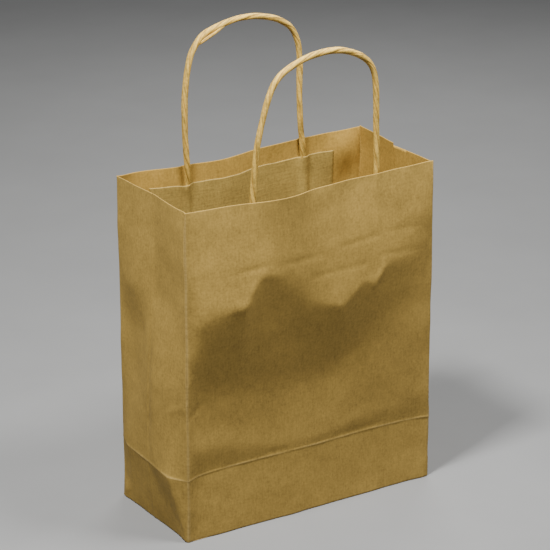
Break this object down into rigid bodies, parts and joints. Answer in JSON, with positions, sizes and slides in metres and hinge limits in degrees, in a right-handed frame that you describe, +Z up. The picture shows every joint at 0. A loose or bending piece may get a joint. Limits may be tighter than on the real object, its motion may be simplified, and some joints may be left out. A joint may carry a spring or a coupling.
{
  "type": "gift bag",
  "caption": "Open kraft paper gift bag with a folded block base, pleated gussets and twisted paper cord handles that swing out.",
  "frame": {"origin": "centre of the face the bag rests on", "axes": "+Z up to the handles, -Y out of the front panel, +X to the right seen from the front"},
  "size_m": [0.184, 0.084, 0.3114],
  "materials": {
    "kraft_wall": "matte natural brown kraft paper",
    "kraft_flap": "matte natural brown kraft paper, glued folds",
    "patch_paper": "matte grey-brown laid kraft paper",
    "cord_paper": "twisted pale kraft paper cord, slight sheen"
  },
  "bodies": {
    "back_wall": {"back_panel": "kraft_wall", "bottom_outer_flap": "kraft_flap", "bottom_inner_flap": "kraft_flap", "bottom_gusset_flap_left": "kraft_flap", "bottom_gusset_flap_right": "kraft_flap", "back_patch_under_ply": "patch_paper", "back_patch_cover_ply": "patch_paper", "back_cord_left_leg": "cord_paper", "back_cord_right_leg": "cord_paper"},
    "left_gusset_rear": {"left_gusset_rear_half": "kraft_wall"},
    "left_gusset_front": {"left_gusset_front_half": "kraft_wall"},
    "front_wall": {"front_panel": "kraft_wall", "front_patch_under_ply": "patch_paper", "front_patch_cover_ply": "patch_paper", "front_cord_left_leg": "cord_paper", "front_cord_right_leg": "cord_paper"},
    "right_gusset_rear": {"right_gusset_rear_half": "kraft_wall"},
    "right_gusset_front": {"right_gusset_front_half": "kraft_wall", "side_seam_lap": "kraft_flap"},
    "front_handle": {"front_handle_arch": "cord_paper"},
    "back_handle": {"back_handle_arch": "cord_paper"}
  },
  "joints": [
    {"name": "gusset_fold", "type": "hinge", "parent": "back_wall", "child": "left_gusset_rear", "pos_m": [-0.0914, 0.0414, 0.11], "axis": [0, 0, 1], "range_deg": [0, 78], "stiffness_Nm_per_rad": 0.002},
    {"name": "left_mid_crease", "type": "hinge", "parent": "left_gusset_rear", "child": "left_gusset_front", "pos_m": [-0.092, 0, 0.11], "axis": [0, 0, 1], "range_deg": [-156, 0]},
    {"name": "front_left_crease", "type": "hinge", "parent": "left_gusset_front", "child": "front_wall", "pos_m": [-0.0914, -0.0414, 0.11], "axis": [0, 0, 1], "range_deg": [0, 78]},
    {"name": "rear_right_crease", "type": "hinge", "parent": "back_wall", "child": "right_gusset_rear", "pos_m": [0.0914, 0.0414, 0.11], "axis": [0, 0, 1], "range_deg": [-78, 0]},
    {"name": "right_mid_crease", "type": "hinge", "parent": "right_gusset_rear", "child": "right_gusset_front", "pos_m": [0.092, 0, 0.11], "axis": [0, 0, 1], "range_deg": [0, 156]},
    {"name": "front_handle_swing", "type": "hinge", "parent": "front_wall", "child": "front_handle", "pos_m": [0, -0.0383, 0.223], "axis": [1, 0, 0], "range_deg": [0, 85], "stiffness_Nm_per_rad": 0.006},
    {"name": "back_handle_swing", "type": "hinge", "parent": "back_wall", "child": "back_handle", "pos_m": [0, 0.0383, 0.223], "axis": [-1, 0, 0], "range_deg": [0, 85], "stiffness_Nm_per_rad": 0.006}
  ],
  "couplings": [
    {"joint": "left_mid_crease", "follows": "gusset_fold", "ratio": -2},
    {"joint": "front_left_crease", "follows": "gusset_fold", "ratio": 1},
    {"joint": "rear_right_crease", "follows": "gusset_fold", "ratio": -1},
    {"joint": "right_mid_crease", "follows": "gusset_fold", "ratio": 2}
  ]
}
